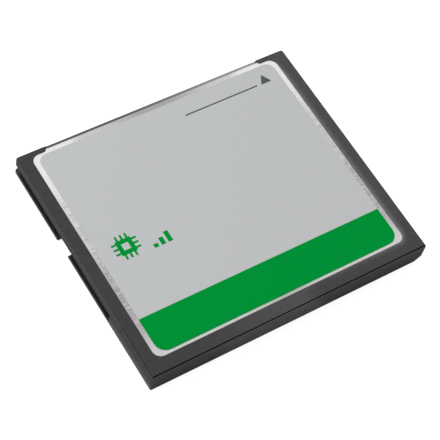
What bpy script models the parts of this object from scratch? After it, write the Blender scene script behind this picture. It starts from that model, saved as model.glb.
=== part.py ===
"""Flash memory card with a 50-way socket connector, modelled piece by piece.

Units are metres. The card lies flat with its label up: +Z is up, +Y points to the connector end
and +X to the right, seen from above. The origin is the middle of the underside.
"""
import math

import bmesh
import bpy
from mathutils import Matrix, Vector

# Card outline
card_width = 0.0428
card_length = 0.0364
card_height = 0.0033
front_corner_radius = 0.0005
back_corner_radius = 0.0002
under_edge_radius = 0.00045
top_edge_radius = 0.00012
cut_corner = (0.0011, 0.0011, 0.001)

# Connector: two rows of sockets, 25 in each, which is as many as fit between the margins
contact_pitch = 0.00127
contact_margin = 0.0013
row_spacing = 0.00127
housing_depth = 0.0046
nose_lip_drop = 0.00003
socket_mouth = 0.00084
socket_width = 0.00056
socket_lead_in = 0.00022
socket_depth = 0.0036
tail_width = 0.00036
tail_thickness = 0.00015
tail_straight = 0.00027
tail_slope = 0.00063
tail_foot = 0.0008

# Clearances
seat_gap = 0.00002
fit_gap = 0.00004
slip_gap = 0.0001
bond_gap = 0.00001

# How far a cutting tool reaches past what it cuts, and the steps of a quarter circle
cut_over = 0.0005
arc_steps = 6

# Ears of the case beside the connector
ear_length = 0.0046
ear_depth = 0.00065
ear_chamfer = 0.00045

# Guide slots along both sides: a rail below, a flange above, and a notch in the rail. The right
# flange is the thicker one, so its slot is the narrower one, 0.99 against 1.60 mm.
slot_length = 0.02578
slot_depth = 0.0011
rail_height = 0.00069
left_flange_height = 0.00101
right_flange_height = 0.00162
notch_start = 0.012
notch_length = 0.003

# Cover plates and the windows they lie in
window_side_margin = 0.00192
window_back_margin = 0.00217
window_corner_radius = 0.0012
cover_thickness = 0.00015
cover_recess = 0.00012
cover_front_setback = 0.00039
cover_ledge = 0.0014
claw_width = 0.0016
claw_depth = 0.0004
claw_count = 4

# Joint between the two halves of the case: the lower one reaches up round the back as a thin lip
rear_lip_top = 0.00012
rear_lip_base = 0.00045
rear_lip_gap = 0.00017
side_lip_length = 0.0078
side_lip_thickness = 0.00012
side_lip_gap = 0.00007
weld_rib_width = 0.00035
weld_rib_height = 0.0003

# Label, and the strips of steel that it leaves bare round it
label_side_border = 0.0008
label_back_border = 0.00045
label_front_border = 0.00069
label_thickness = 0.00006
label_front_radius = 0.0013
label_back_radius = 0.0016
green_field_length = 0.00538

# Circuit board
board_thickness = 0.0006
board_side_gap = 0.0002
board_bearing = 0.0006
board_front_gap = 0.0002
board_corner_cut = 0.0008
board_hole_diameter = 0.001
hold_down_count = 3
hold_down_length = 0.002

# Chip packages: a moulded body with leads that come out of its middle and step down to the board
package_headroom = 0.00021
package_standoff = 0.00005
package_draft = 0.00006
lead_thickness = 0.00012
lead_foot = 0.0005
lead_straight = 0.00012
dimple_diameter = 0.0008
dimple_depth = 0.00008

# Memory chips, side by side on top of the board, as long as the room behind the solder tails
memory_leads = 24
memory_pitch = 0.0005
memory_lead_width = 0.00022
memory_lead_reach = 0.0008
memory_side_gap = 0.002
memory_back_gap = 0.00185
memory_front_gap = 0.0054

# Places under the board are distances in from the right shelf and back from the solder tails
controller_place = (0.0226, 0.0139)
regulator_place = (0.0076, 0.0064)
supervisor_place = (0.0076, 0.0114)
crystal_place = (0.0129, 0.0074)
bead_place = (0.0129, 0.0124)
resistor_place = (0.0086, 0.0164)
side_capacitor_place = (0.0026, 0.0164)

# Controller
controller_leads = 16
controller_pitch = 0.0005
controller_lead_width = 0.00022
controller_lead_reach = 0.001
controller_corner = 0.001

# Regulator and reset supervisor
small_body_length = 0.0029
small_body_width = 0.0016
small_pitch = 0.00095
small_lead_width = 0.00044
small_lead_reach = 0.00065

# Crystal: a flanged base and a can
crystal_base = (0.0025, 0.002)
crystal_rim = 0.0002
crystal_base_height = 0.0003
crystal_height = 0.0007
crystal_corner = 0.0003

# Resistor networks, in a row under the board
network_count = 4
network_size = (0.0032, 0.0016, 0.0005)
network_pitch = 0.0008
network_bite = 0.00018
network_spacing = 0.0072
network_gap = 0.0012

# Capacitors, resistors and ferrite bead as length, width and height
large_chip = (0.002, 0.00125, 0.00075)
small_chip = (0.001, 0.0005, 0.0005)
bead = (0.0016, 0.0008, 0.0007)
terminal_length = 0.00025
terminal_step = 0.00001
middle_capacitor_count = 3
middle_capacitor_spacing = 0.0045
front_capacitor_count = 6
front_capacitor_spacing = 0.0055
front_capacitor_gap = 0.0005
side_capacitor_count = 3
side_capacitor_spacing = 0.0026
resistor_count = 4
resistor_spacing = 0.002

# Heights worked out from the values above
parting_height = card_height - left_flange_height
top_cover_top = card_height - cover_recess
top_cover_bottom = top_cover_top - cover_thickness
bottom_cover_bottom = cover_recess
bottom_cover_top = bottom_cover_bottom + cover_thickness
middle_height = (top_cover_bottom + bottom_cover_top) / 2
board_top = middle_height + board_thickness / 2
board_bottom = middle_height - board_thickness / 2
package_height = top_cover_bottom - board_top - seat_gap - package_standoff - package_headroom

# Places in plan
half_width = card_width / 2
front = card_length / 2
back = -card_length / 2
slot_end = front - slot_length
slot_floor_x = half_width - slot_depth
window_half = half_width - window_side_margin
window_back = back + window_back_margin
opening_half = window_half - cover_ledge
opening_back = window_back + cover_ledge
ear_back = front - ear_depth
ear_end = half_width - ear_length
nose_half = ear_end - slip_gap
contact_columns = 1 + int(2 * (nose_half - contact_margin) / contact_pitch)
board_half = opening_half + board_bearing
board_back = opening_back - board_bearing
housing_back = front - housing_depth
board_front = housing_back - board_front_gap
tail_tip = housing_back - tail_straight - tail_slope - tail_foot
cover_front = front - cover_front_setback
weld_rib_x = (window_half + slot_floor_x) / 2
weld_rib_y = (window_back + back + rear_lip_base + rear_lip_gap) / 2
memory_body_width = memory_leads * memory_pitch
memory_x = board_half - memory_side_gap - memory_body_width / 2
memory_back_end = board_back + memory_back_gap
memory_front_end = tail_tip - memory_front_gap
memory_y = (memory_back_end + memory_front_end) / 2
memory_body_length = memory_front_end - memory_back_end - 2 * memory_lead_reach
controller_body = controller_leads * controller_pitch + 2 * controller_corner


def linear(r, g, b):
    """Colour given as 0 to 255 display values, returned as linear RGBA."""
    def channel(value):
        share = value / 255
        return share / 12.92 if share <= 0.04045 else ((share + 0.055) / 1.055) ** 2.4
    return (channel(r), channel(g), channel(b), 1.0)


black_plastic = dict(colour=linear(66, 66, 68), roughness=0.42, metallic=0.0)
black_resin = dict(colour=linear(38, 38, 40), roughness=0.5, metallic=0.0)
steel = dict(colour=linear(214, 214, 212), roughness=0.28, metallic=1.0)
grey_print = dict(colour=linear(189, 191, 193), roughness=0.45, metallic=0.0)
green_print = dict(colour=linear(3, 146, 56), roughness=0.45, metallic=0.0)
board_laminate = dict(colour=linear(18, 84, 52), roughness=0.5, metallic=0.0)
ceramic_body = dict(colour=linear(176, 146, 112), roughness=0.5, metallic=0.0)
resistor_body = dict(colour=linear(30, 30, 34), roughness=0.35, metallic=0.0)


def material(name, colour, roughness, metallic):
    new = bpy.data.materials.new(name)
    new.use_nodes = True
    shader = new.node_tree.nodes["Principled BSDF"]
    shader.inputs["Base Color"].default_value = colour
    shader.inputs["Roughness"].default_value = roughness
    shader.inputs["Metallic"].default_value = metallic
    new.diffuse_color = colour
    return new


def clear_scene():
    for old in list(bpy.data.objects):
        bpy.data.objects.remove(old, do_unlink=True)


def new_object(name, mesh_builder, finish=None):
    """Object whose mesh is what the bmesh holds, with its own material."""
    bmesh.ops.recalc_face_normals(mesh_builder, faces=mesh_builder.faces)
    mesh = bpy.data.meshes.new(name)
    mesh_builder.to_mesh(mesh)
    mesh_builder.free()
    obj = bpy.data.objects.new(name, mesh)
    bpy.context.scene.collection.objects.link(obj)
    if finish:
        mesh.materials.append(material(name, **finish))
    return obj


def add_prism(mesh_builder, outline, low, high, place=lambda u, v, w: (u, v, w)):
    """Extrude a closed outline of (u, v) points from low to high, and place each point."""
    lower = [mesh_builder.verts.new(place(u, v, low)) for u, v in outline]
    upper = [mesh_builder.verts.new(place(u, v, high)) for u, v in outline]
    count = len(outline)
    mesh_builder.faces.new(lower[::-1])
    mesh_builder.faces.new(upper)
    for i in range(count):
        j = (i + 1) % count
        mesh_builder.faces.new((lower[i], lower[j], upper[j], upper[i]))


def upright(u, v, w):
    """Outline in plan, extruded upwards."""
    return (u, v, w)


def along_y(u, v, w):
    """Outline across the card (x, z), extruded from back to front."""
    return (u, w, v)


def along_x(u, v, w):
    """Outline along the card (y, z), extruded from left to right."""
    return (w, u, v)


def prism(name, outline, low, high, place=upright, finish=None):
    mesh_builder = bmesh.new()
    add_prism(mesh_builder, outline, low, high, place)
    return new_object(name, mesh_builder, finish)


def box_outline(u0, u1, v0, v1):
    return [(u0, v0), (u1, v0), (u1, v1), (u0, v1)]


def arc(centre, radius, start, end):
    """Points of an arc in degrees, both ends included."""
    points = []
    for i in range(arc_steps + 1):
        angle = math.radians(start + (end - start) * i / arc_steps)
        points.append((centre[0] + radius * math.cos(angle), centre[1] + radius * math.sin(angle)))
    return points


def rounded_outline(u0, u1, v0, v1, low_radius, high_radius):
    """Rectangle with round corners: one radius at its low v side, one at its high v side."""
    points = arc((u0 + low_radius, v0 + low_radius), low_radius, 180, 270)
    points += arc((u1 - low_radius, v0 + low_radius), low_radius, 270, 360)
    points += arc((u1 - high_radius, v1 - high_radius), high_radius, 0, 90)
    points += arc((u0 + high_radius, v1 - high_radius), high_radius, 90, 180)
    return points


def combine(target, tool, operation):
    """Boolean with a guide object, which stays in the file as wire."""
    step = target.modifiers.new(tool.name, "BOOLEAN")
    step.operation = operation
    step.solver = "EXACT"
    step.object = tool
    tool.hide_render = True
    tool.display_type = "WIRE"


def cut(target, tool):
    combine(target, tool, "DIFFERENCE")


def fuse(target, tool):
    combine(target, tool, "UNION")


def keep_inside(target, tool):
    combine(target, tool, "INTERSECT")


def smooth_round(obj):
    obj.data.shade_smooth()
    obj.data.set_sharp_from_angle(angle=math.radians(30))


def window_outline(gap, front_edge):
    """Outline of a cover plate, or with no gap of its window: a tab reaches out between the ears."""
    half = window_half - gap
    radius = window_corner_radius - gap
    low = window_back + gap
    high = ear_back - gap
    tab = ear_end - gap
    points = arc((-half + radius, low + radius), radius, 180, 270)
    points += arc((half - radius, low + radius), radius, 270, 360)
    points += arc((half - radius, high - radius), radius, 0, 90)
    points += [(tab + ear_chamfer, high), (tab, high + ear_chamfer), (tab, front_edge)]
    points += [(-tab, front_edge), (-tab, high + ear_chamfer), (-tab - ear_chamfer, high)]
    points += arc((-half + radius, high - radius), radius, 90, 180)
    return points


def claw_places():
    """Middles of the claws along one side of a cover."""
    run = ear_back - window_back - 2 * window_corner_radius
    first = window_back + window_corner_radius
    return [first + run * (i + 0.5) / claw_count for i in range(claw_count)]


def claw_boxes(low, high, gap=0, wall_gap=0):
    """The claws of a cover, or with gaps the slots in the ledge that take them."""
    mesh_builder = bmesh.new()
    outer = window_half - fit_gap + wall_gap
    inner = window_half - fit_gap - cover_thickness - gap
    reach = claw_width / 2 + gap
    for side in (-1, 1):
        x0, x1 = sorted((side * inner, side * outer))
        for y in claw_places():
            add_prism(mesh_builder, box_outline(x0, x1, y - reach, y + reach), low, high)
    return mesh_builder


def opening_outline():
    """Through opening of both halves: wide inside, narrower between the ears."""
    over = front + cut_over
    return [
        (-opening_half, opening_back), (opening_half, opening_back), (opening_half, ear_back),
        (ear_end, ear_back), (ear_end, over), (-ear_end, over), (-ear_end, ear_back),
        (-opening_half, ear_back),
    ]


def weld_rib_outline(gap):
    """Strip that runs up one side, along the back and down the other side."""
    reach = weld_rib_width / 2 + gap
    outer = weld_rib_x + reach
    inner = weld_rib_x - reach
    low = weld_rib_y - reach
    high = weld_rib_y + reach
    end = ear_back - weld_rib_width + gap
    return [
        (-outer, end), (-outer, low), (outer, low), (outer, end),
        (inner, end), (inner, high), (-inner, high), (-inner, end),
    ]


def rear_lip_outline(gap):
    """Wedge at the back edge in (y, z): the rear wall of the lower half tapers up to the top."""
    root = parting_height - cut_over
    outside = back - cut_over
    over = card_height + cut_over
    return [
        (outside, root), (back + rear_lip_base + gap, root),
        (back + rear_lip_base + gap, parting_height - gap / 2),
        (back + rear_lip_top + gap, card_height), (back + rear_lip_top + gap, over), (outside, over),
    ]


def side_lip_boxes(gap):
    """The lip's two ends, which run forward along the sides."""
    mesh_builder = bmesh.new()
    reach = half_width - side_lip_thickness - gap
    for side in (-1, 1):
        x0, x1 = sorted((side * reach, side * (half_width + cut_over)))
        strip = box_outline(x0, x1, back - cut_over, back + side_lip_length + gap)
        add_prism(mesh_builder, strip, parting_height - cut_over, card_height + cut_over)
    return mesh_builder


def case_plan(name, low, high):
    """The case's outline in plan, extruded."""
    plan = rounded_outline(-half_width, half_width, back, front, back_corner_radius,
                           front_corner_radius)
    return prism(name, plan, low, high)


def corner_block():
    """Block with a slanting face that takes off the lower back corner on the right."""
    reach_x, reach_y, reach_z = cut_corner
    slant = Vector((1 / reach_x, -1 / reach_y, -1 / reach_z)).to_track_quat("Z", "Y")
    start = Vector((half_width - reach_x, back, 0))
    side = 2 * max(cut_corner)
    return prism("cut_corner", box_outline(-side, side, -side, side), 0, side,
                 lambda u, v, w: start + slant @ Vector((u, v, w)))


def lower_shell():
    """Lower half of the case: rails, slots, notches, rear wall and the shelf for the board."""
    section = rounded_outline(-half_width, half_width, 0, parting_height + card_height,
                              under_edge_radius, top_edge_radius)
    shell = prism("lower_shell", section, back - cut_over, front + cut_over, along_y, black_plastic)
    keep_inside(shell, case_plan("lower_plan", -cut_over, parting_height))
    cut(shell, corner_block())

    for side, name in ((-1, "left"), (1, "right")):
        x0, x1 = sorted((side * slot_floor_x, side * (half_width + cut_over)))
        slot = box_outline(x0, x1, slot_end, front + cut_over)
        cut(shell, prism(name + "_slot", slot, rail_height, parting_height + cut_over))
        notch_front = front - notch_start
        notch = box_outline(x0, x1, notch_front - notch_length, notch_front)
        cut(shell, prism(name + "_notch", notch, -cut_over, rail_height + cut_over))

    recess = window_outline(0, front + cut_over)
    cut(shell, prism("lower_recess", recess, -cut_over, bottom_cover_top + seat_gap))
    cut(shell, prism("lower_opening", opening_outline(), -cut_over, parting_height + cut_over))
    claw_slots = claw_boxes(bottom_cover_bottom, bottom_cover_top + claw_depth + slip_gap,
                            slip_gap, seat_gap)
    cut(shell, new_object("lower_claw_slots", claw_slots))

    bay_half = board_half + board_side_gap
    bay = box_outline(-bay_half, bay_half, board_back - board_side_gap, board_front + slip_gap)
    cut(shell, prism("board_bay", bay, board_bottom - seat_gap, parting_height + cut_over))

    fuse(shell, prism("weld_rib", weld_rib_outline(0), parting_height - slip_gap,
                      parting_height + weld_rib_height))
    outside = half_width + cut_over
    lip = prism("rear_lip", rear_lip_outline(0), -outside, outside, along_x)
    fuse(lip, new_object("side_lips", side_lip_boxes(0)))
    keep_inside(lip, case_plan("lip_plan", 0, 2 * card_height))
    lip_section = rounded_outline(-half_width, half_width, 0, card_height - seat_gap,
                                  top_edge_radius, top_edge_radius)
    keep_inside(lip, prism("lip_section", lip_section, back - 2 * cut_over, front, along_y))
    fuse(shell, lip)
    smooth_round(shell)
    return shell


def upper_shell():
    """Upper half of the case: window, flanges over the slots and posts that hold the board."""
    low = parting_height + seat_gap
    section = rounded_outline(-half_width, half_width, low - card_height, card_height,
                              top_edge_radius, top_edge_radius)
    shell = prism("upper_shell", section, back - cut_over, front + cut_over, along_y, black_plastic)
    keep_inside(shell, case_plan("upper_plan", low, card_height + cut_over))

    skirt = box_outline(slot_floor_x + fit_gap, half_width + cut_over,
                        slot_end + fit_gap, front + cut_over)
    flange = prism("right_flange", skirt, card_height - right_flange_height, low + seat_gap)
    keep_inside(flange, case_plan("flange_plan", -cut_over, card_height + cut_over))
    fuse(shell, flange)

    recess = window_outline(0, front + cut_over)
    cut(shell, prism("upper_recess", recess, top_cover_bottom - seat_gap, card_height + cut_over))
    cut(shell, prism("upper_opening", opening_outline(), -cut_over, card_height + cut_over))
    claw_slots = claw_boxes(top_cover_bottom - claw_depth - slip_gap, top_cover_top,
                            slip_gap, seat_gap)
    cut(shell, new_object("upper_claw_slots", claw_slots))
    cut(shell, prism("weld_groove", weld_rib_outline(fit_gap), -cut_over,
                     parting_height + weld_rib_height + fit_gap))
    outside = half_width + cut_over
    cut(shell, prism("lip_space", rear_lip_outline(rear_lip_gap), -outside, outside, along_x))
    cut(shell, new_object("side_lip_space", side_lip_boxes(side_lip_gap)))

    posts = bmesh.new()
    run = board_front - board_back
    for side in (-1, 1):
        x0, x1 = sorted((side * (opening_half + fit_gap), side * board_half))
        for i in range(hold_down_count):
            y = board_back + run * (i + 0.5) / hold_down_count
            post = box_outline(x0, x1, y - hold_down_length / 2, y + hold_down_length / 2)
            add_prism(posts, post, board_top + seat_gap, low + slip_gap)
    fuse(shell, new_object("hold_down_posts", posts))
    smooth_round(shell)
    return shell


def cover(name, low, claw_low, claw_high):
    """Pressed steel plate with claws that hook into the case."""
    outline = window_outline(fit_gap, cover_front)
    plate = prism(name, outline, low, low + cover_thickness, finish=steel)
    fuse(plate, new_object(name + "_claws", claw_boxes(claw_low, claw_high)))
    return plate


def label():
    """Printed sticker: grey, with a green field across its back end."""
    low = top_cover_top + bond_gap
    half = window_half - label_side_border
    label_back = window_back + label_back_border
    outline = rounded_outline(-half, half, label_back, cover_front - label_front_border,
                              label_back_radius, label_front_radius)
    mesh_builder = bmesh.new()
    add_prism(mesh_builder, outline, low, low + label_thickness)
    edge = label_back + green_field_length
    everything = mesh_builder.verts[:] + mesh_builder.edges[:] + mesh_builder.faces[:]
    bmesh.ops.bisect_plane(mesh_builder, geom=everything, plane_co=(0, edge, 0), plane_no=(0, 1, 0))
    for face in mesh_builder.faces:
        face.material_index = 1 if face.calc_center_median().y < edge else 0
    sticker = new_object("label", mesh_builder, grey_print)
    sticker.data.materials.append(material("label_green", **green_print))
    return sticker


def evenly(count, pitch):
    """Places in a row that is centred on zero."""
    first = -pitch * (count - 1) / 2
    return [first + pitch * i for i in range(count)]


def square_funnel(mesh_builder, x, z):
    """Cutter of one socket hole: a square funnel that runs into a square bore."""
    stations = (
        (front + cut_over, socket_mouth / 2), (front, socket_mouth / 2),
        (front - socket_lead_in, socket_width / 2), (front - socket_depth, socket_width / 2),
    )
    rings = []
    for y, half in stations:
        corners = ((-half, -half), (half, -half), (half, half), (-half, half))
        rings.append([mesh_builder.verts.new((x + u, y, z + v)) for u, v in corners])
    mesh_builder.faces.new(rings[0])
    mesh_builder.faces.new(rings[-1][::-1])
    for near, far in zip(rings, rings[1:]):
        for i in range(4):
            j = (i + 1) % 4
            mesh_builder.faces.new((near[i], near[j], far[j], far[i]))


def tail_outline(side):
    """Solder tail in (y, z): out of the housing, down a slope and flat onto the board."""
    leave = middle_height + side * row_spacing / 2
    half = tail_thickness / 2
    face = board_top if side > 0 else board_bottom
    rest = face + side * (seat_gap + half)
    slope_start = housing_back - tail_straight
    inside = housing_back + tail_thickness
    line = ((inside, leave), (slope_start, leave), (tail_tip + tail_foot, rest), (tail_tip, rest))
    return [(y, z + half) for y, z in line] + [(y, z - half) for y, z in reversed(line)]


def connector():
    """Socket housing, wider behind the ears, with two rows of sockets and their solder tails.

    A low lip at its front, above and below, covers the front edges of the two cover plates.
    """
    low = bottom_cover_top + seat_gap
    high = top_cover_bottom - seat_gap
    body = opening_half - slip_gap
    shoulder = ear_back - slip_gap
    outline = [
        (-body, housing_back), (body, housing_back), (body, shoulder), (nose_half, shoulder),
        (nose_half, front), (-nose_half, front), (-nose_half, shoulder), (-body, shoulder),
    ]
    housing = prism("connector", outline, low, high, finish=black_resin)
    lip = box_outline(-nose_half, nose_half, cover_front + fit_gap, front)
    fuse(housing, prism("nose_lip", lip, bottom_cover_bottom + nose_lip_drop,
                        top_cover_top - nose_lip_drop))
    sockets = bmesh.new()
    tails = bmesh.new()
    for side in (-1, 1):
        for x in evenly(contact_columns, contact_pitch):
            square_funnel(sockets, x, middle_height + side * row_spacing / 2)
            add_prism(tails, tail_outline(side), x - tail_width / 2, x + tail_width / 2, along_x)
    cut(housing, new_object("socket_bores", sockets))
    fuse(housing, new_object("solder_tails", tails))
    return housing


def circuit_board():
    """Bare board, its corners cut, with two tooling holes."""
    cut_off = board_corner_cut
    outline = [
        (-board_half + cut_off, board_back), (board_half - cut_off, board_back),
        (board_half, board_back + cut_off), (board_half, board_front),
        (-board_half, board_front), (-board_half, board_back + cut_off),
    ]
    board = prism("circuit_board", outline, board_bottom, board_top, finish=board_laminate)
    holes = bmesh.new()
    inset = board_bearing + board_hole_diameter
    for x in (-board_half + inset, board_half - inset):
        place = Matrix.Translation((x, board_back + inset, middle_height))
        bmesh.ops.create_cone(holes, cap_ends=True, segments=12, radius1=board_hole_diameter / 2,
                              radius2=board_hole_diameter / 2, depth=2 * board_thickness,
                              matrix=place)
    cut(board, new_object("tooling_holes", holes))
    return board


def lead_outline(half_body, reach):
    """Gull-wing lead in (reach, height): out of the body's middle, down and out to a flat foot."""
    half = lead_thickness / 2
    leave = package_standoff + package_height / 2
    tip = half_body + reach
    line = ((half_body - lead_thickness, leave), (half_body + lead_straight, leave),
            (tip - lead_foot, half), (tip, half))
    return [(u, w + half) for u, w in line] + [(u, w - half) for u, w in reversed(line)]


def package_body(name, size_x, size_y):
    """Moulded chip body: widest at its middle, drafted to the top and the bottom."""
    mesh_builder = bmesh.new()
    levels = (
        (package_standoff, package_draft), (package_standoff + package_height / 2, 0),
        (package_standoff + package_height, package_draft),
    )
    rings = []
    for z, inset in levels:
        x = size_x / 2 - inset
        y = size_y / 2 - inset
        corners = ((-x, -y), (x, -y), (x, y), (-x, y))
        rings.append([mesh_builder.verts.new((u, v, z)) for u, v in corners])
    mesh_builder.faces.new(rings[0][::-1])
    mesh_builder.faces.new(rings[-1])
    for below, above in zip(rings, rings[1:]):
        for i in range(4):
            j = (i + 1) % 4
            mesh_builder.faces.new((below[i], below[j], above[j], above[i]))
    return new_object(name, mesh_builder, black_resin)


def leaded_package(name, body, rows, lead_width, reach):
    """Chip with rows of leads: a row is its direction in degrees and the middles of its leads."""
    chip = package_body(name, *body)
    leads = bmesh.new()
    for direction, middles in rows:
        half_body = (body[0] if direction % 180 == 0 else body[1]) / 2
        spin = Matrix.Rotation(math.radians(direction), 4, "Z")
        outline = lead_outline(half_body, reach)
        for middle in middles:
            add_prism(leads, outline, middle - lead_width / 2, middle + lead_width / 2,
                      lambda u, w, v: spin @ Vector((u, v, w)))
    lead_object = new_object(name + "_leads", leads)
    lead_object.parent = chip
    fuse(chip, lead_object)
    return chip


def mark_first_lead(chip, body):
    """Round dimple in a chip's top, at the corner of its first lead."""
    dimple = bmesh.new()
    place = Matrix.Translation((dimple_diameter - body[0] / 2, body[1] / 2 - dimple_diameter,
                                package_standoff + package_height))
    bmesh.ops.create_cone(dimple, cap_ends=True, segments=2 * arc_steps, depth=2 * dimple_depth,
                          radius1=dimple_diameter / 2, radius2=dimple_diameter / 2, matrix=place)
    dimple_object = new_object(chip.name + "_dimple", dimple)
    dimple_object.parent = chip
    cut(chip, dimple_object)


def stand_on_top(obj, x, y, turn=0):
    """Place an object, built upwards from z = 0, on the board's upper face."""
    obj.location = (x, y, board_top + seat_gap)
    obj.rotation_euler = (0, 0, math.radians(turn))


def hang_below(obj, x, y, turn=0):
    """Place an object, built upwards from z = 0, head down on the board's lower face."""
    obj.location = (x, y, board_bottom - seat_gap)
    obj.rotation_euler = (math.pi, 0, math.radians(turn))


def hang_at(obj, place, turn=0):
    """Hang an object below the board, in from the right shelf and back from the solder tails."""
    inward, behind = place
    hang_below(obj, opening_half - inward, tail_tip - behind, turn)


def memory_chips():
    """Two flat packages side by side, leads at their short ends."""
    body = (memory_body_width, memory_body_length)
    leads = evenly(memory_leads, memory_pitch)
    for x, name in ((-memory_x, "memory_chip_left"), (memory_x, "memory_chip_right")):
        chip = leaded_package(name, body, [(90, leads), (270, leads)], memory_lead_width,
                              memory_lead_reach)
        mark_first_lead(chip, body)
        stand_on_top(chip, x, memory_y)


def controller():
    """Square package with leads on all four sides."""
    body = (controller_body, controller_body)
    leads = evenly(controller_leads, controller_pitch)
    rows = [(direction, leads) for direction in (0, 90, 180, 270)]
    chip = leaded_package("controller", body, rows, controller_lead_width, controller_lead_reach)
    mark_first_lead(chip, body)
    hang_at(chip, controller_place)


def small_packages():
    """Regulator with five leads and reset supervisor with three."""
    body = (small_body_length, small_body_width)
    three = evenly(3, small_pitch)
    two = evenly(2, 2 * small_pitch)
    regulator = leaded_package("regulator", body, [(90, three), (270, two)], small_lead_width,
                               small_lead_reach)
    hang_at(regulator, regulator_place)
    supervisor = leaded_package("reset_supervisor", body, [(90, two), (270, [0.0])],
                                small_lead_width, small_lead_reach)
    hang_at(supervisor, supervisor_place)


def stepped_bar(name, stations, finish):
    """Bar along x through rectangles given as (x, half width, bottom, top)."""
    mesh_builder = bmesh.new()
    rings = []
    for x, half, low, high in stations:
        corners = ((-half, low), (half, low), (half, high), (-half, high))
        rings.append([mesh_builder.verts.new((x, y, z)) for y, z in corners])
    mesh_builder.faces.new(rings[0][::-1])
    mesh_builder.faces.new(rings[-1])
    for near, far in zip(rings, rings[1:]):
        for i in range(4):
            j = (i + 1) % 4
            mesh_builder.faces.new((near[i], near[j], far[j], far[i]))
    return new_object(name, mesh_builder, finish)


def chip_component(name, size, finish):
    """Two-terminal part: a body between two slightly thicker metal ends."""
    length, width, height = size
    reach = length / 2
    inner = reach - terminal_length
    half = width / 2
    step = terminal_step
    stations = (
        (-reach, half, 0, height), (-inner, half, 0, height),
        (-inner, half - step, step, height - step), (inner, half - step, step, height - step),
        (inner, half, 0, height), (reach, half, 0, height),
    )
    return stepped_bar(name, stations, finish)


def resistor_network(name):
    """Four resistors in one chip: castellations between its eight terminals."""
    length, width, height = network_size
    floor = width / 2 - network_bite
    outline = []
    for side in (-1, 1):
        outline.append((side * length / 2, side * width / 2))
        for x in evenly(3, -side * network_pitch):
            near = x + side * network_bite
            far = x - side * network_bite
            outline += [(near, side * width / 2), (near, side * floor),
                        (far, side * floor), (far, side * width / 2)]
        outline.append((-side * length / 2, side * width / 2))
    return prism(name, outline, 0, height, finish=resistor_body)


def crystal():
    """Metal can on its base flange."""
    half_x, half_y = (side / 2 for side in crystal_base)
    base = rounded_outline(-half_x, half_x, -half_y, half_y, crystal_corner, crystal_corner)
    can = prism("crystal", base, 0, crystal_base_height, finish=steel)
    lid_x = half_x - crystal_rim
    lid_y = half_y - crystal_rim
    lid = prism("crystal_lid", rounded_outline(-lid_x, lid_x, -lid_y, lid_y, crystal_corner,
                                               crystal_corner), crystal_base_height / 2, crystal_height)
    lid.parent = can
    fuse(can, lid)
    hang_at(can, crystal_place)


def passives():
    """Resistor networks by the connector, and the capacitors, resistors and bead round the chips."""
    network_y = tail_tip - network_gap - network_size[1] / 2
    for i, x in enumerate(evenly(network_count, network_spacing)):
        hang_below(resistor_network("resistor_network_%d" % (i + 1)), x, network_y)

    number = 1
    for y in evenly(middle_capacitor_count, middle_capacitor_spacing):
        capacitor = chip_component("capacitor_%d" % number, large_chip, ceramic_body)
        stand_on_top(capacitor, 0, memory_y + y, 90)
        number += 1
    front_row = tail_tip - front_capacitor_gap - small_chip[0] / 2
    for x in evenly(front_capacitor_count, front_capacitor_spacing):
        capacitor = chip_component("capacitor_%d" % number, small_chip, ceramic_body)
        stand_on_top(capacitor, x, front_row, 90)
        number += 1
    inward, behind = side_capacitor_place
    for shift in evenly(side_capacitor_count, side_capacitor_spacing):
        capacitor = chip_component("capacitor_%d" % number, large_chip, ceramic_body)
        hang_at(capacitor, (inward, behind + shift), 90)
        number += 1

    inward, behind = resistor_place
    for i, shift in enumerate(evenly(resistor_count, resistor_spacing)):
        resistor = chip_component("resistor_%d" % (i + 1), small_chip, resistor_body)
        hang_at(resistor, (inward + shift, behind), 90)
    hang_at(chip_component("ferrite_bead", bead, resistor_body), bead_place, 90)


def build():
    clear_scene()
    lower_shell()
    upper_shell()
    cover("top_cover", top_cover_bottom, top_cover_bottom - claw_depth, top_cover_top)
    cover("bottom_cover", bottom_cover_bottom, bottom_cover_bottom, bottom_cover_top + claw_depth)
    label()
    connector()
    circuit_board()
    memory_chips()
    controller()
    small_packages()
    crystal()
    passives()


build()
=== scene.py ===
"""Looks of the flash memory card: materials, print, contact springs, floor, light and camera.

Units are metres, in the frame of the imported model: +Z is up, and +Y points to the connector end,
which is the card's front.
"""
import math

import bmesh
import bpy
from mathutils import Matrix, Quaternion, Vector


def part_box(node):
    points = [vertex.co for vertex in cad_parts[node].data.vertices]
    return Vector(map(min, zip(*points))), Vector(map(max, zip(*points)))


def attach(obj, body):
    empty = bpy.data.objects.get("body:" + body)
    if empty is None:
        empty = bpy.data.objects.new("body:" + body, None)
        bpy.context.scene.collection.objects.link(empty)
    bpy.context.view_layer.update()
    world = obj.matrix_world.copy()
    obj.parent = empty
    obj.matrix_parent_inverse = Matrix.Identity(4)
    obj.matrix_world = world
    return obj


# Camera: where it stands, where it looks and how far it is rolled
camera_place = (-0.07993, -0.08069, 0.17591)
camera_heading = math.radians(44.921)
camera_elevation = math.radians(57.294)
camera_roll = math.radians(15.778)
camera_lens = 126.819
camera_near = 0.01
camera_far = 10
sensor_width = 36

# Light: strengths are the shares of a white card's brightness that each source gives
ambient_share = 0.6
key_share = 0.49
key_from = (-0.55, 0.45, 0.9)
key_distance = 0.45
key_size = 0.3
rim_share = 0.05
rim_from = (-0.84, 0.38, 0.38)
rim_distance = 0.4
rim_size = 0.1
floor_size = 3.0
floor_glow = 0.78
floor_grey = 0.5
floor_grey_pale = 0.51

# Rounding of the edges of the moulded and pressed pieces
soft_edges = {
    "upper_shell": 0.00004, "lower_shell": 0.00004, "top_cover": 0.00003, "bottom_cover": 0.00003,
    "connector": 0.00002,
}
soft_edge_segments = 2
sharp_angle = math.radians(40)

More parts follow.
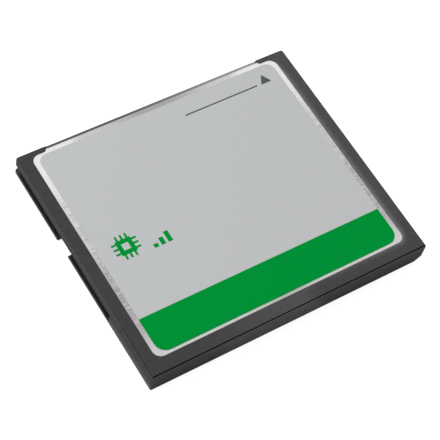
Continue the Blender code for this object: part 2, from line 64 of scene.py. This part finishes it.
# Case's top: painted sheen, paler toward the right and less so at the back. Here and below, a span
# gives the places where a change starts and ends, from the card's middle, and shares are the paleness
# there.
sheen_right_front_span = (-0.017, -0.009)
sheen_right_shares = (0.14, 0.265)

# Paler patch in the middle of the back, on the top and down the wall, where it leans to the right
pale_patch_start = -0.016
pale_patch_full_top = -0.001
pale_patch_full_low = -0.009
pale_patch_fade_span = (0.0048, 0.002)
pale_patch_back_span = (-0.0155, -0.0165)
pale_patch_share_top = 0.29
pale_patch_share_low = 0.46
pale_patch_lean = 0.8

# Painted highlight round the window, and a painted reflection of the floor on the side walls,
# paler toward their foot
window_round = 0.0012
rim_highlight_reach = 0.0012
rim_highlight_fade = 0.0042
rim_highlight_right_span = (-0.004, 0.024)
foot_reflection_reach = 0.0029
side_skin = 0.0001

# Steel round the label: a painted reflection, paler toward the sides, the front and the right, and
# along the back. Each pair of shares holds the left side's and the right side's.
strip_side_span = (0.001, 0.0105)
strip_side_share = 0.48
strip_corner_span = (0.0115, 0.0143)
strip_corner_share = 0.52
strip_right_span = (-0.01, 0.01)
strip_middle_span = (-0.005, 0.0025)
strip_back_shares = (0.12, 0.2)
strip_middle_shares = (0.34, 0.41)
strip_front_span = (0.003, 0.0145)
strip_front_shares = (0.43, 0.46)

# Steel along the back, painted reflection: its shares run from beside its middle to its corners
back_strip_start = -0.0115
back_strip_half = 0.007
back_strip_middle_share = 0.19
back_strip_shares = (0.38, 0.29)

# Scratches across the steel beside the label
scratch_inset = 0.0005
scratch_across_span = (0.0005, 0.00025)
scratch_middle = -0.0005
scratch_along_span = (0.0125, 0.01)
scratch_shares = (-0.56, 0.44)

# Print on the label: distances from the card's middle
# label_edge: depth of the label's side faces, which are painted near white against their shade
label_edge = 0.000015
green_edge_inset = 0.00538
green_edge_tilt = -0.003
arrow_place = (0.0162, 0.0150)
arrow_half_width = 0.00085
arrow_length = 0.0015
rule_start = 0.0029
rule_end = 0.0147
rule_half_height = 0.00011
chip_sign_place = (-0.0148, -0.0001)
chip_sign_half = 0.00115
chip_sign_core = 0.0005
chip_sign_leg_reach = 0.00185
chip_sign_leg_pitch = 0.00072
chip_sign_leg_half = 0.00016
bars_place = (-0.0112, -0.00205)
bar_pitch = 0.00105
bar_half_width = 0.00033
bar_heights = (0.0006, 0.00115, 0.0017)

# Connector: the tails lie behind its housing; its front lip has painted sheen, paler to the right
housing_depth = 0.0046
lip_depth = 0.0004
lip_skin = 0.00003
lip_sheen_span = (-0.014, 0.019)

# Contact springs inside the connector's bores
contact_columns = 25
contact_pitch = 0.00127
row_spacing = 0.00127
bore_half = 0.00028
spring_width = 0.00036
spring_thickness = 0.00007
spring_length = 0.003
spring_setback = 0.0004
spring_clearance = 0.00001
spring_bow = 0.00009
spring_bow_share = 0.625
spring_steps = 6

# Pieces on the board: how far leads reach out of a body, along x and y, and the tinned share at
# each end of the small parts
lead_reaches = {
    "memory_chip_left": (0, 0.0008), "memory_chip_right": (0, 0.0008),
    "controller": (0.001, 0.001), "regulator": (0, 0.00065), "reset_supervisor": (0, 0.00065),
}
capacitor_end_share = 0.14
resistor_end_share = 0.2


def linear(r, g, b):
    """Colour given as 0 to 255 display values, returned as linear RGBA."""
    def channel(value):
        share = value / 255
        return share / 12.92 if share <= 0.04045 else ((share + 0.055) / 1.055) ** 2.4
    return (channel(r), channel(g), channel(b), 1.0)


# Shader nodes

class Shader:
    """A material's node tree, with short calls that add and link its nodes."""

    def __init__(self, name):
        self.material = bpy.data.materials.new(name)
        self.material.use_nodes = True
        self.tree = self.material.node_tree
        self.surface = self.tree.nodes["Principled BSDF"]
        self.place = self.add("ShaderNodeTexCoord").outputs["Object"]

    def add(self, kind, values=None, **settings):
        """Add a node; values are numbers or sockets for its inputs, by name or number."""
        node = self.tree.nodes.new(kind)
        for name, value in settings.items():
            setattr(node, name, value)
        self.feed(node, values or {})
        return node

    def feed(self, node, values):
        for name, value in values.items():
            self.plug(node.inputs[name], value)

    def plug(self, socket, value):
        """Link the value to the socket if it is a socket itself, or else set it."""
        if isinstance(value, bpy.types.NodeSocket):
            self.tree.links.new(value, socket)
        else:
            socket.default_value = value

    def axes(self):
        split = self.add("ShaderNodeSeparateXYZ", {0: self.place})
        return split.outputs[0], split.outputs[1], split.outputs[2]

    def maths(self, operation, *values):
        node = self.add("ShaderNodeMath", dict(enumerate(values)), operation=operation)
        return node.outputs[0]

    def chain(self, operation, first, *others):
        """The values joined one after another by the same operation."""
        result = first
        for value in others:
            result = self.maths(operation, result, value)
        return result

    def product(self, *values):
        return self.chain("MULTIPLY", *values)

    def total(self, *values):
        return self.chain("ADD", *values)

    def union(self, *masks):
        return self.chain("MAXIMUM", *masks)

    def apart(self, value, centre):
        """Distance of the value from the centre."""
        return self.maths("ABSOLUTE", self.maths("SUBTRACT", value, centre))

    def excess(self, value, limit):
        """How far the value is over the limit, or 0 where it isn't."""
        return self.maths("MAXIMUM", self.maths("SUBTRACT", value, limit), 0.0)

    def fall(self, value, reach):
        """Number that falls evenly from 1 at 0 to 0 at the reach."""
        return self.maths("MAXIMUM", self.maths("MULTIPLY_ADD", value, -1 / reach, 1.0), 0.0)

    def between(self, share, low, high):
        """Number that runs from low to high as the share runs from 0 to 1."""
        values = {"Value": share, "To Min": low, "To Max": high}
        return self.add("ShaderNodeMapRange", values).outputs[0]

    def ramp(self, value, start, end):
        """Smooth step from 0 at the start value to 1 at the end value."""
        values = {"Value": value, "From Min": start, "From Max": end}
        return self.add("ShaderNodeMapRange", values, interpolation_type="SMOOTHSTEP").outputs[0]

    def box(self, x, y, centre, half_x, half_y):
        """Mask of an upright box, seen from above."""
        return self.product(self.maths("LESS_THAN", self.apart(x, centre[0]), half_x),
                            self.maths("LESS_THAN", self.apart(y, centre[1]), half_y))

    def noise(self, scale, detail=2.0, stretch=(1, 1, 1)):
        """Noise from 0 to 1; scale is in cells per metre."""
        spread = self.add("ShaderNodeMapping", {"Vector": self.place, "Scale": stretch})
        values = {"Vector": spread.outputs[0], "Scale": scale, "Detail": detail}
        return self.add("ShaderNodeTexNoise", values).outputs[0]

    def blend(self, share, first, second):
        """Colour that runs from the first to the second as the share runs from 0 to 1."""
        node = self.add("ShaderNodeMix", data_type="RGBA")
        self.plug(node.inputs[0], share)
        self.plug(node.inputs[6], first)
        self.plug(node.inputs[7], second)
        return node.outputs[2]

    def bump(self, height, distance, strength=1.0):
        values = {"Height": height, "Distance": distance, "Strength": strength}
        return self.add("ShaderNodeBump", values).outputs[0]

    def finish(self, **values):
        self.feed(self.surface, {name.replace("_", " "): value for name, value in values.items()})
        return self.material


# Case

def back_pale_patch(shader, x, y, z, on_top):
    """Paleness in the middle of the back: stronger on the wall, where it leans to the right."""
    case_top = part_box("lower_shell")[1].z
    lean = shader.maths("MULTIPLY_ADD", shader.maths("SUBTRACT", z, case_top), pale_patch_lean, x)
    full = shader.between(on_top, pale_patch_full_low, pale_patch_full_top)
    patch = shader.product(shader.ramp(lean, pale_patch_start, full), shader.ramp(lean, *pale_patch_fade_span),
                          shader.ramp(y, *pale_patch_back_span))
    return shader.product(patch, shader.between(on_top, pale_patch_share_low, pale_patch_share_top))


def window_highlight(shader, x, y):
    """Painted highlight round the window, 1 at its edge: least to the left and at the front."""
    low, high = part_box("top_cover")
    out_x = shader.excess(x, high.x - window_round)
    out_y = shader.excess(low.y + window_round, y)
    squares = shader.total(shader.product(out_x, out_x), shader.product(out_y, out_y))
    away = shader.excess(shader.maths("SQRT", squares), window_round)
    near = shader.maths("POWER", shader.fall(away, rim_highlight_reach), 3.0)
    return shader.product(near, shader.ramp(x, *rim_highlight_right_span),
                          shader.ramp(y, high.y, high.y - rim_highlight_fade))


def case_plastic():
    """Black moulded plastic: fine grain and cloudy gloss.

    Its top carries painted sheen, paler to the right, a painted highlight round the window and a
    paler patch in the middle of the back, and its sides carry a painted reflection of the floor,
    paler toward the foot.
    """
    shader = Shader("case_plastic")
    x, y, z = shader.axes()
    case_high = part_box("lower_shell")[1]
    cover_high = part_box("top_cover")[1]
    on_top = shader.maths("GREATER_THAN", z, cover_high.z)
    cloud = shader.noise(260, 3)
    mottle = shader.noise(1500, 3)
    grain = shader.noise(9000, 2)

    # Painted sheen: the top paler toward the right, less so at the back
    right = shader.product(shader.ramp(x, -cover_high.x, cover_high.x),
                           shader.between(shader.ramp(y, *sheen_right_front_span), *sheen_right_shares), on_top)
    share = shader.total(back_pale_patch(shader, x, y, z, on_top), right,
                         shader.between(cloud, -0.043, 0.123), shader.between(mottle, -0.104, 0.203))
    colour = shader.blend(share, linear(10, 10, 11), linear(80, 80, 81))

    # Painted highlight on the top round the window's edge
    rim_highlight = shader.product(window_highlight(shader, x, y), on_top, shader.between(mottle, 0.5, 1.3))
    colour = shader.blend(rim_highlight, colour, linear(110, 110, 111))

    # Painted reflection of the white floor: the side walls run from near black at the top to pale at
    # the foot
    out_side = shader.maths("GREATER_THAN", shader.maths("ABSOLUTE", x), case_high.x - side_skin)
    on_side = shader.product(out_side, shader.maths("LESS_THAN", z, case_high.z - side_skin))
    foot = shader.maths("POWER", shader.fall(z, foot_reflection_reach), 2.5)
    colour = shader.blend(on_side, colour, shader.blend(foot, linear(6, 6, 7), linear(115, 115, 116)))

    gloss = shader.between(shader.total(cloud, shader.product(grain, 0.3)), 0.46, 0.34)
    return shader.finish(Base_Color=colour, Roughness=gloss, Normal=shader.bump(grain, 0.000006, 0.5))


# Cover plates

def even_tone(shader):
    """Paleness of plain steel: a little cloudy all over."""
    return shader.between(shader.noise(150, 2), 0.38, 0.55)


def strip_reflection_and_scratches(shader):
    """Painted reflection on the steel round the label: most at the front corners, less along the
    back.

    Faint scratches run across the strips at both sides.
    """
    x, y, _ = shader.axes()
    low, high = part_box("top_cover")
    from_middle = shader.maths("ABSOLUTE", x)
    right = shader.ramp(x, *strip_right_span)
    side = shader.total(
        shader.product(shader.ramp(from_middle, *strip_corner_span), strip_corner_share),
        shader.product(shader.ramp(from_middle, *strip_side_span), strip_side_share))
    front = shader.total(
        shader.product(shader.ramp(y, *strip_front_span), shader.between(right, *strip_front_shares)),
        shader.between(shader.ramp(y, *strip_middle_span), shader.between(right, *strip_back_shares),
                       shader.between(right, *strip_middle_shares)))
    back = shader.product(
        shader.ramp(y, back_strip_start, low.y),
        shader.between(shader.ramp(from_middle, 0.0, back_strip_half), back_strip_middle_share,
                       shader.between(side, *back_strip_shares)))

    across = shader.apart(from_middle, high.x - scratch_inset)
    along = shader.apart(y, scratch_middle)
    band = shader.product(shader.ramp(across, *scratch_across_span),
                          shader.ramp(along, *scratch_along_span))
    scratch = shader.between(shader.noise(4600, 1, (0.12, 1, 1)), *scratch_shares)
    return shader.total(shader.product(side, front), back, shader.product(scratch, band))


def satin_steel(name, tone):
    """Stainless sheet with a fine rolled grain; tone is the function that gives its paleness."""
    shader = Shader(name)
    streak = shader.noise(2600, 3, (1, 0.06, 1))
    share = shader.maths("MULTIPLY_ADD", streak, 0.2, tone(shader))
    colour = shader.blend(share, linear(153, 153, 154), linear(230, 230, 231))
    roughness = shader.between(streak, 0.3, 0.42)
    return shader.finish(Base_Color=colour, Metallic=1.0, Roughness=roughness,
                         Normal=shader.bump(streak, 0.000004, 0.4))


# Label

def arrow_and_rule(shader, x, y):
    """Mask of an arrow head that points to the front, with a rule to its left."""
    tip = arrow_place[1] + arrow_length / 2
    below_tip = shader.maths("SUBTRACT", tip, y)
    half_there = shader.product(below_tip, arrow_half_width / arrow_length)
    head = shader.product(shader.maths("LESS_THAN", shader.apart(x, arrow_place[0]), half_there),
                          shader.maths("LESS_THAN", below_tip, arrow_length))
    rule_place = ((rule_start + rule_end) / 2, arrow_place[1] - arrow_length / 2 + rule_half_height)
    rule = shader.box(x, y, rule_place, (rule_end - rule_start) / 2, rule_half_height)
    return shader.union(head, rule)


def chip_sign(shader, x, y):
    """Mask of a square chip with an open core and three legs across it each way."""
    centre_x, centre_y = chip_sign_place
    legs = []
    for i in (-1, 0, 1):
        shift = i * chip_sign_leg_pitch
        legs.append(shader.box(x, y, (centre_x, centre_y + shift), chip_sign_leg_reach,
                               chip_sign_leg_half))
        legs.append(shader.box(x, y, (centre_x + shift, centre_y), chip_sign_leg_half,
                               chip_sign_leg_reach))
    body = shader.box(x, y, chip_sign_place, chip_sign_half, chip_sign_half)
    core = shader.box(x, y, chip_sign_place, chip_sign_core, chip_sign_core)
    return shader.maths("SUBTRACT", shader.union(*legs, body), core)


def rising_bars(shader, x, y):
    """Mask of three bars on one line, each taller than the one before."""
    left, foot = bars_place
    bars = []
    for i, height in enumerate(bar_heights):
        centre = (left + i * bar_pitch, foot + height / 2)
        bars.append(shader.box(x, y, centre, bar_half_width, height / 2))
    return shader.union(*bars)


def label_film():
    """Printed film: grey, a green field at the back, an arrow and rule, a chip sign and bars."""
    shader = Shader("label_film")
    x, y, z = shader.axes()
    low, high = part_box("label")
    dark = arrow_and_rule(shader, x, y)
    field = shader.maths("LESS_THAN", shader.maths("MULTIPLY_ADD", x, -green_edge_tilt, y),
                         low.y + green_edge_inset)
    green = shader.union(chip_sign(shader, x, y), field, rising_bars(shader, x, y))
    # The label's side faces are painted near white, painted light that cancels their shade
    edge = shader.maths("LESS_THAN", z, high.z - label_edge)

    fibre = shader.noise(4200, 3)
    grey = shader.blend(fibre, linear(191, 193, 195), linear(195, 197, 199))
    green_ink = shader.blend(fibre, linear(0, 144, 52), linear(0, 149, 59))
    colour = shader.blend(dark, grey, linear(88, 90, 92))
    colour = shader.blend(edge, colour, linear(250, 250, 250))
    colour = shader.blend(green, colour, green_ink)
    return shader.finish(Base_Color=colour, Roughness=shader.between(fibre, 0.5, 0.6),
                         Specular_IOR_Level=0.01, Normal=shader.bump(fibre, 0.000002, 0.3))


# Connector and board

def gold_plating():
    """Gold on the contact springs."""
    shader = Shader("gold_plating")
    wear = shader.noise(3000, 3)
    colour = shader.blend(wear, linear(214, 170, 84), linear(240, 204, 122))
    return shader.finish(Base_Color=colour, Metallic=1.0, Roughness=shader.between(wear, 0.18, 0.34))


def connector_resin():
    """Black glass-filled resin with a painted sheen on its front lip, and tinned solder tails."""
    shader = Shader("connector_resin")
    x, y, z = shader.axes()
    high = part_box("connector")[1]
    fibre = shader.noise(2400, 4, (1, 0.2, 1))
    resin = shader.blend(fibre, linear(30, 30, 31), linear(44, 44, 45))
    # Painted sheen: the front lip is paler, more so toward the right
    lip = shader.product(shader.maths("GREATER_THAN", y, high.y - lip_depth),
                         shader.maths("GREATER_THAN", z, high.z - lip_skin))
    lip_sheen = shader.maths("POWER", shader.ramp(x, *lip_sheen_span), 1.4)
    resin = shader.blend(lip, resin, shader.blend(lip_sheen, linear(72, 72, 73), linear(152, 152, 153)))
    tail = shader.maths("LESS_THAN", y, high.y - housing_depth)
    colour = shader.blend(tail, resin, linear(206, 204, 196))
    roughness = shader.between(fibre, 0.42, 0.58)
    return shader.finish(Base_Color=colour, Metallic=tail, Roughness=roughness,
                         Normal=shader.bump(fibre, 0.000004, 0.3))


def solder_mask():
    """Green board: fine parallel traces under the mask, with cloudy gloss."""
    shader = Shader("solder_mask")
    lines = shader.add("ShaderNodeTexWave", {"Vector": shader.place, "Scale": 420, "Distortion": 6,
                                             "Detail": 1}, wave_type="BANDS").outputs[1]
    trace = shader.maths("GREATER_THAN", lines, 0.6)
    colour = shader.blend(trace, linear(14, 74, 44), linear(26, 104, 62))
    cloud = shader.noise(500, 2)
    return shader.finish(Base_Color=colour, Roughness=shader.between(cloud, 0.3, 0.42),
                         Normal=shader.bump(lines, 0.00001, 0.3))


def chip_resin(node, reach_x, reach_y):
    """Moulded chip body with tinned leads, which are whatever lies outside the body."""
    shader = Shader(node + "_finish")
    x, y, _ = shader.axes()
    low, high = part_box(node)
    centre = (low + high) / 2
    half_x = (high.x - low.x) / 2 - reach_x
    half_y = (high.y - low.y) / 2 - reach_y
    lead = shader.union(shader.maths("GREATER_THAN", shader.apart(x, centre.x), half_x),
                        shader.maths("GREATER_THAN", shader.apart(y, centre.y), half_y))
    grain = shader.noise(7000, 3)
    body = shader.blend(grain, linear(30, 30, 31), linear(44, 44, 45))
    colour = shader.blend(lead, body, linear(208, 208, 204))
    return shader.finish(Base_Color=colour, Metallic=lead, Roughness=shader.between(grain, 0.4, 0.6),
                         Normal=shader.bump(grain, 0.000006, 0.5))


def nickel_can():
    """Plated can of the crystal."""
    shader = Shader("nickel_can")
    cloud = shader.noise(1800, 3)
    colour = shader.blend(cloud, linear(196, 194, 188), linear(222, 220, 214))
    return shader.finish(Base_Color=colour, Metallic=1.0, Roughness=shader.between(cloud, 0.2, 0.36))


def ended_chip(name, body_low, body_high, end_share):
    """Ceramic part with tinned ends, one toward the front and one toward the back."""
    shader = Shader(name)
    spread = shader.add("ShaderNodeTexCoord").outputs["Generated"]
    along = shader.add("ShaderNodeSeparateXYZ", {0: spread}).outputs[1]
    end = shader.maths("GREATER_THAN", shader.apart(along, 0.5), 0.5 - end_share)
    grain = shader.noise(5000, 3)
    body = shader.blend(grain, body_low, body_high)
    colour = shader.blend(end, body, linear(206, 206, 202))
    return shader.finish(Base_Color=colour, Metallic=end, Roughness=shader.between(grain, 0.32, 0.5))


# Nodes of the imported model

def dress(obj, material):
    obj.data.materials.clear()
    obj.data.materials.append(material)
    for face in obj.data.polygons:
        face.material_index = 0


def dress_nodes(nodes):
    """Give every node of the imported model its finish."""
    case = case_plastic()
    capacitor = ended_chip("capacitor_ceramic", linear(150, 118, 84), linear(176, 146, 112),
                           capacitor_end_share)
    resistor = ended_chip("resistor_glaze", linear(16, 16, 19), linear(30, 30, 34),
                          resistor_end_share)
    finishes = {
        "upper_shell": case, "lower_shell": case,
        "top_cover": satin_steel("top_cover_steel", strip_reflection_and_scratches),
        "bottom_cover": satin_steel("bottom_cover_steel", even_tone),
        "label": label_film(), "connector": connector_resin(), "circuit_board": solder_mask(),
        "crystal": nickel_can(),
    }
    for name, (reach_x, reach_y) in lead_reaches.items():
        finishes[name] = chip_resin(name, reach_x, reach_y)
    for name, node in nodes.items():
        if name.startswith("capacitor"):
            dress(node, capacitor)
        elif name.startswith(("resistor", "ferrite")):
            dress(node, resistor)
        else:
            dress(node, finishes[name])


def soften(obj, width):
    """Small round on the sharp edges of a piece."""
    bevel = obj.modifiers.new("edge", "BEVEL")
    bevel.width = width
    bevel.segments = soft_edge_segments
    bevel.limit_method = "ANGLE"
    bevel.angle_limit = sharp_angle
    bevel.use_clamp_overlap = True
    bevel.harden_normals = True
    obj.data.shade_smooth()
    obj.data.set_sharp_from_angle(angle=sharp_angle)


# Contact springs

def add_leaf(builder, x, z, mouth, side):
    """Bowed leaf in the bore at x and z, by its upper wall where side is 1 and its lower where -1."""
    rings = []
    for i in range(spring_steps + 1):
        share = i / spring_steps
        y = mouth - spring_length * share
        bow = math.sin(math.pi * min(1, share / spring_bow_share)) * spring_bow
        outer = z + side * (bore_half - spring_clearance - bow)
        inner = outer - side * spring_thickness
        section = ((-1, outer), (1, outer), (1, inner), (-1, inner))
        rings.append([builder.verts.new((x + u * spring_width / 2, y, w)) for u, w in section])
    builder.faces.new(rings[0])
    builder.faces.new(rings[-1][::-1])
    for near, far in zip(rings, rings[1:]):
        for i in range(4):
            j = (i + 1) % 4
            builder.faces.new((near[i], near[j], far[j], far[i]))


def contact_springs():
    """Two bowed gold leaves in each bore of the connector, as one piece."""
    low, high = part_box("connector")
    middle = (low.z + high.z) / 2
    mouth = high.y - spring_setback
    builder = bmesh.new()
    for row in (-1, 1):
        z = middle + row * row_spacing / 2
        for column in range(contact_columns):
            x = (column - (contact_columns - 1) / 2) * contact_pitch
            for side in (-1, 1):
                add_leaf(builder, x, z, mouth, side)
    bmesh.ops.recalc_face_normals(builder, faces=builder.faces)
    mesh = bpy.data.meshes.new("contact_springs")
    builder.to_mesh(mesh)
    builder.free()
    springs = bpy.data.objects.new("contact_springs", mesh)
    bpy.context.scene.collection.objects.link(springs)
    mesh.materials.append(gold_plating())
    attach(springs, "root")


# Studio

def add_floor():
    """White floor: for the camera partly glowing, so that it is white and keeps a soft shadow."""
    mesh = bpy.data.meshes.new("floor")
    half = floor_size / 2
    mesh.from_pydata([(-half, -half, 0), (half, -half, 0), (half, half, 0), (-half, half, 0)], [],
                     [(0, 1, 2, 3)])
    floor = bpy.data.objects.new("floor", mesh)
    bpy.context.scene.collection.objects.link(floor)
    shader = Shader("floor_white")
    seen = shader.add("ShaderNodeLightPath").outputs["Is Camera Ray"]
    cloud = shader.noise(40, 2)
    colour = shader.blend(cloud, (floor_grey, floor_grey, floor_grey, 1),
                          (floor_grey_pale, floor_grey_pale, floor_grey_pale, 1))
    glow = shader.product(seen, floor_glow)
    shader.finish(Base_Color=colour, Roughness=0.9, Specular_IOR_Level=0.0,
                  Emission_Color=(1, 1, 1, 1), Emission_Strength=glow)
    mesh.materials.append(shader.material)


def add_world():
    """White for the camera and in reflections, dimmer as a light."""
    world = bpy.data.worlds.new("studio")
    bpy.context.scene.world = world
    world.use_nodes = True
    tree = world.node_tree
    path = tree.nodes.new("ShaderNodeLightPath")
    background = tree.nodes["Background"]
    background.inputs["Color"].default_value = (1, 1, 1, 1)
    seen = path.outputs["Is Camera Ray"]
    for name in ("Is Glossy Ray", "Is Transmission Ray"):
        union = tree.nodes.new("ShaderNodeMath")
        union.operation = "MAXIMUM"
        tree.links.new(seen, union.inputs[0])
        tree.links.new(path.outputs[name], union.inputs[1])
        seen = union.outputs[0]
    strength = tree.nodes.new("ShaderNodeMapRange")
    strength.inputs["To Min"].default_value = ambient_share
    strength.inputs["To Max"].default_value = 1.0
    tree.links.new(seen, strength.inputs["Value"])
    tree.links.new(strength.outputs[0], background.inputs["Strength"])


def add_lamp(name, direction, distance, size, share):
    """Square soft lamp that gives a white card facing it the stated share of full brightness."""
    data = bpy.data.lights.new(name, "AREA")
    data.size = size
    data.energy = share * math.pi ** 2 * distance ** 2
    lamp = bpy.data.objects.new(name, data)
    bpy.context.scene.collection.objects.link(lamp)
    toward = Vector(direction).normalized()
    lamp.location = toward * distance
    lamp.rotation_euler = (-toward).to_track_quat("-Z", "Y").to_euler()


def add_camera():
    data = bpy.data.cameras.new("camera")
    data.sensor_width = sensor_width
    data.lens = camera_lens
    data.clip_start = camera_near
    data.clip_end = camera_far
    camera = bpy.data.objects.new("camera", data)
    bpy.context.scene.collection.objects.link(camera)
    level = math.cos(camera_elevation)
    view = Vector((math.sin(camera_heading) * level, math.cos(camera_heading) * level,
                   -math.sin(camera_elevation)))
    camera.location = camera_place
    turn = view.to_track_quat("-Z", "Y") @ Quaternion((0, 0, 1), camera_roll)
    camera.rotation_euler = turn.to_euler()
    bpy.context.scene.camera = camera


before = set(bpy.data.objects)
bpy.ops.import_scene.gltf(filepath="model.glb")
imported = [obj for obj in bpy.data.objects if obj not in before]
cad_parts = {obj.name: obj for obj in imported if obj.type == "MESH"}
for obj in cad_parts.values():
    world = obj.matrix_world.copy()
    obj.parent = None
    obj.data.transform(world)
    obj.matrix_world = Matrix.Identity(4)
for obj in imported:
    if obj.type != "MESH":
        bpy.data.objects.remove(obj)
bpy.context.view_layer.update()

dress_nodes(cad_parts)
for name, width in soft_edges.items():
    soften(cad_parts[name], width)
contact_springs()

add_floor()
add_world()
add_lamp("key_light", key_from, key_distance, key_size, key_share)
add_lamp("rim_light", rim_from, rim_distance, rim_size, rim_share)
add_camera()
bpy.context.scene.view_settings.view_transform = "Standard"
